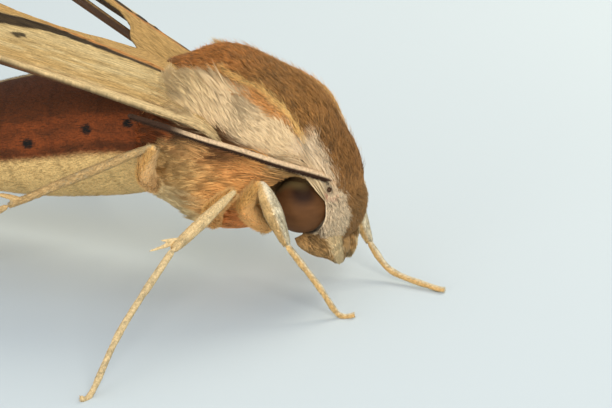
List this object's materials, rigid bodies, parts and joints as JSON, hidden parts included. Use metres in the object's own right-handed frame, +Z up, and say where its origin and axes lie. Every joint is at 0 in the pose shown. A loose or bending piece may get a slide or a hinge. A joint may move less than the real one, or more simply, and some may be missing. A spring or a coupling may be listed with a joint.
{
  "type": "hawk moth",
  "caption": "Life-size hawk moth standing on bent legs, its narrow wings swept back over a tapering body, head bowed, antennae laid along the sides.",
  "frame": {"origin": "floor level under the middle of the box round the whole animal", "axes": "+X towards the head, +Y to the moth's left, +Z up"},
  "size_m": [0.0405, 0.035, 0.0198],
  "materials": {
    "coat": "dense brown hair-like scales",
    "pale": "pale cream scales",
    "belly": "orange-brown and cream scales",
    "eye": "smooth dark brown dome",
    "wing": "matt golden-tan scales with long bands",
    "leg": "flecked cream scales"
  },
  "bodies": {
    "root": {"abdomen_1": "belly", "abdomen_2": "belly", "abdomen_3": "belly", "abdomen_4": "belly", "abdomen_5": "belly", "abdomen_6": "belly", "abdomen_7": "belly", "abdomen_tip": "belly", "antenna_l": "pale", "antenna_r": "pale", "collar": "coat", "eye_l": "eye", "eye_r": "eye", "fore_coxa_l": "coat", "fore_coxa_r": "coat", "fore_femur_l": "leg", "fore_femur_r": "leg", "fore_tarsus_l": "leg", "fore_tarsus_r": "leg", "fore_tibia_l": "leg", "fore_tibia_r": "leg", "forewing_l": "wing", "forewing_r": "wing", "head": "coat", "hind_coxa_l": "coat", "hind_coxa_r": "coat", "hind_femur_l": "leg", "hind_femur_r": "leg", "hind_tarsus_l": "leg", "hind_tarsus_r": "leg", "hind_tibia_l": "leg", "hind_tibia_r": "leg", "hindwing_l": "belly", "hindwing_r": "belly", "mesothorax": "coat", "metathorax": "coat", "mid_coxa_l": "coat", "mid_coxa_r": "coat", "mid_femur_l": "leg", "mid_femur_r": "leg", "mid_tarsus_l": "leg", "mid_tarsus_r": "leg", "mid_tibia_l": "leg", "mid_tibia_r": "leg", "palp_l": "coat", "palp_r": "coat", "proboscis": "belly", "tegula_l": "pale", "tegula_r": "pale"}
  },
  "joints": []
}
